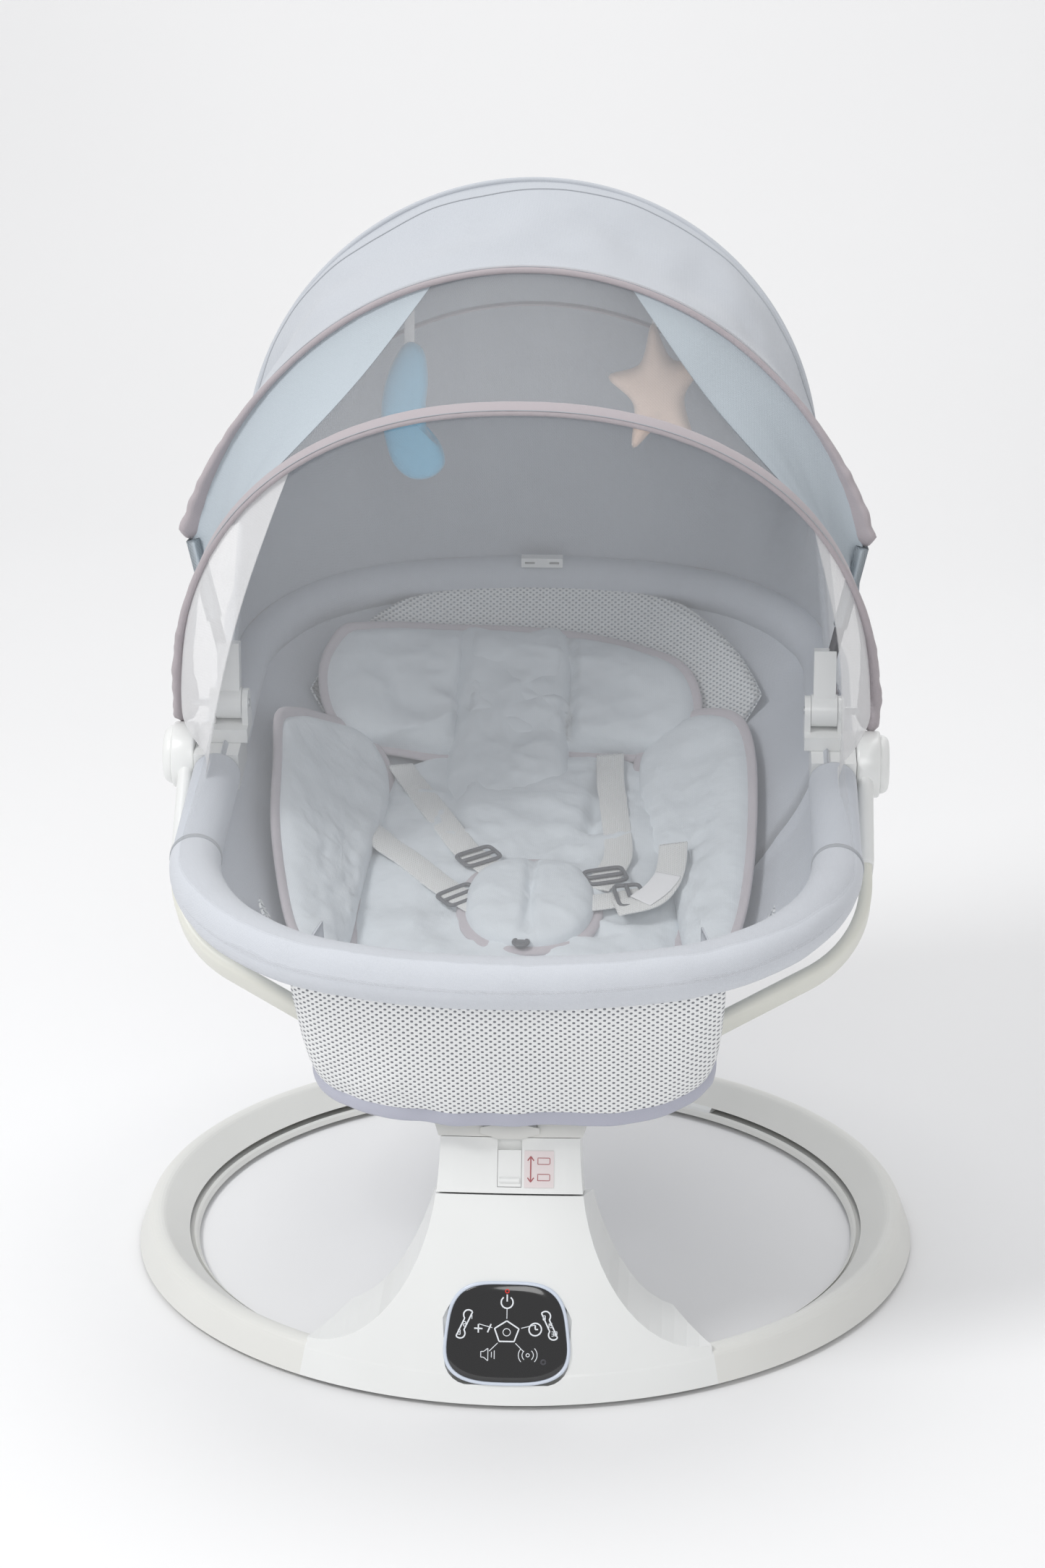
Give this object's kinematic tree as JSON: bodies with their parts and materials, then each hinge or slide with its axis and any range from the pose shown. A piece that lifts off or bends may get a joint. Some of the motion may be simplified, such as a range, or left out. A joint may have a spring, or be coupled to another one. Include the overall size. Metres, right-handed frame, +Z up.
{
  "type": "electric swing bouncer seat",
  "caption": "Reclining infant bouncer seat with a harness and a folding netted hood, carried on two curved arms above a leaning powered tower that rises from a floor ring.",
  "frame": {"origin": "on the floor under the middle of the floor ring", "axes": "+Z up, +X to the sitter's left as seen from the front (right in the picture), the front with the touch panel faces -Y"},
  "size_m": [0.5998, 0.6585, 0.7936],
  "materials": {
    "shell_white": "satin white moulding",
    "shell_offwhite": "matte warm white moulding",
    "arm_cream": "satin cream",
    "foot_rubber": "matte",
    "steel": "bright zinc",
    "bow_steel": "dark coated spring strip",
    "panel_bezel": "pale satin",
    "panel_glass": "glossy black",
    "board": "solder mask",
    "speaker_black": "matte",
    "copper": "enamelled winding",
    "label": "printed film",
    "bush": "low-friction plastic",
    "fabric_blue": "fine plain weave",
    "fabric_pad": "soft quilted weave",
    "binding": "mauve-grey bound edge",
    "mesh_white": "open spacer mesh",
    "webbing": "ribbed webbing",
    "net": "fine see-through netting",
    "toy_blue": "soft plush",
    "toy_peach": "soft plush"
  },
  "bodies": {
    "base": {"base_front_shell": "shell_white", "base_bottom_cover": "shell_offwhite", "tower_rear_cover": "shell_white", "ring_left": "shell_offwhite", "ring_right": "shell_offwhite", "ring_rear": "shell_offwhite", "ring_tongues": "shell_white", "base_feet": "foot_rubber", "base_screws": "steel", "panel_bezel": "panel_bezel", "panel_glass": "panel_glass", "panel_board": "board", "speaker": "speaker_black", "drive_coil": "copper", "shaft_carrier": "shell_offwhite", "swing_shaft": "steel", "dc_inlet": "speaker_black"},
    "head": {"head_front_shell": "shell_white", "head_rear_shell": "shell_white", "head_core": "shell_offwhite", "swing_bearings": "bush", "drive_magnet": "steel", "label_plate": "label", "seat_bracket": "shell_offwhite", "arm_left": "arm_cream", "arm_right": "arm_cream", "hub_left": "shell_white", "hub_right": "shell_white", "release_springs": "steel"},
    "lock": {"lock_slider": "shell_white"},
    "lever": {"release_lever": "shell_offwhite"},
    "button_left": {"recline_button_left": "shell_white"},
    "button_right": {"recline_button_right": "shell_white"},
    "seat": {"rim_front_tube": "steel", "rim_rear_tube": "steel", "hub_blocks": "shell_white", "rim_cover": "fabric_blue", "front_sleeve": "fabric_blue", "hammock": "fabric_blue", "mesh_front": "mesh_white", "body_liner": "fabric_pad", "head_pad": "fabric_pad", "side_wings": "fabric_pad", "crotch_pad": "fabric_pad", "harness": "webbing", "tri_glides": "shell_offwhite", "rear_clip": "shell_white", "canopy_saddles": "shell_white", "canopy_pins": "steel", "main_bow": "bow_steel", "hood": "fabric_blue", "rear_panel": "fabric_blue", "hood_band": "binding"},
    "middle_bow": {"canopy_arms": "shell_white", "mid_bow": "binding", "net_panel": "net"},
    "front_hoop": {"front_bow": "binding", "mosquito_net": "net"},
    "moon": {"moon_toy": "toy_blue"},
    "star": {"star_toy": "toy_peach"}
  },
  "joints": [
    {"name": "swing", "type": "hinge", "parent": "base", "child": "head", "pos_m": [0, -0.21431, 0.13039], "axis": [0, 0.3502, 0.9367], "range_deg": [-10, 10]},
    {"name": "swing_lock", "type": "slide", "parent": "head", "child": "lock", "axis": [0, 0.3502, 0.9367], "range_m": [0, 0.007]},
    {"name": "lever_pull", "type": "hinge", "parent": "head", "child": "lever", "pos_m": [0, -0.2301, 0.18754], "axis": [-1, 0, 0], "range_deg": [0, 12], "stiffness_Nm_per_rad": 0.05},
    {"name": "recline", "type": "hinge", "parent": "head", "child": "seat", "pos_m": [0, 0, 0.386], "axis": [-1, 0, 0], "range_deg": [0, 12]},
    {"name": "recline_press_left", "type": "slide", "parent": "head", "child": "button_left", "axis": [1, 0, 0], "range_m": [0, 0.003], "stiffness_N_per_m": 300},
    {"name": "recline_press_right", "type": "slide", "parent": "head", "child": "button_right", "axis": [-1, 0, 0], "range_m": [0, 0.003], "stiffness_N_per_m": 300},
    {"name": "canopy_fold", "type": "hinge", "parent": "seat", "child": "middle_bow", "pos_m": [0, 0.00579, 0.42574], "axis": [-1, 0, 0], "range_deg": [0, 14], "deforming": ["hood", "net_panel", "mosquito_net"]},
    {"name": "net_fold", "type": "hinge", "parent": "middle_bow", "child": "front_hoop", "pos_m": [0, 0.00579, 0.42574], "axis": [-1, 0, 0], "range_deg": [0, 16.8]},
    {"name": "moon_hang", "type": "hinge", "parent": "seat", "child": "moon", "pos_m": [-0.092, 0.125, 0.746], "axis": [1, 0, 0], "range_deg": [-15, 15]},
    {"name": "star_hang", "type": "hinge", "parent": "seat", "child": "star", "pos_m": [0.095, 0.125, 0.746], "axis": [1, 0, 0], "range_deg": [-15, 15]}
  ],
  "couplings": [
    {"joint": "net_fold", "follows": "canopy_fold", "ratio": 1.2}
  ]
}
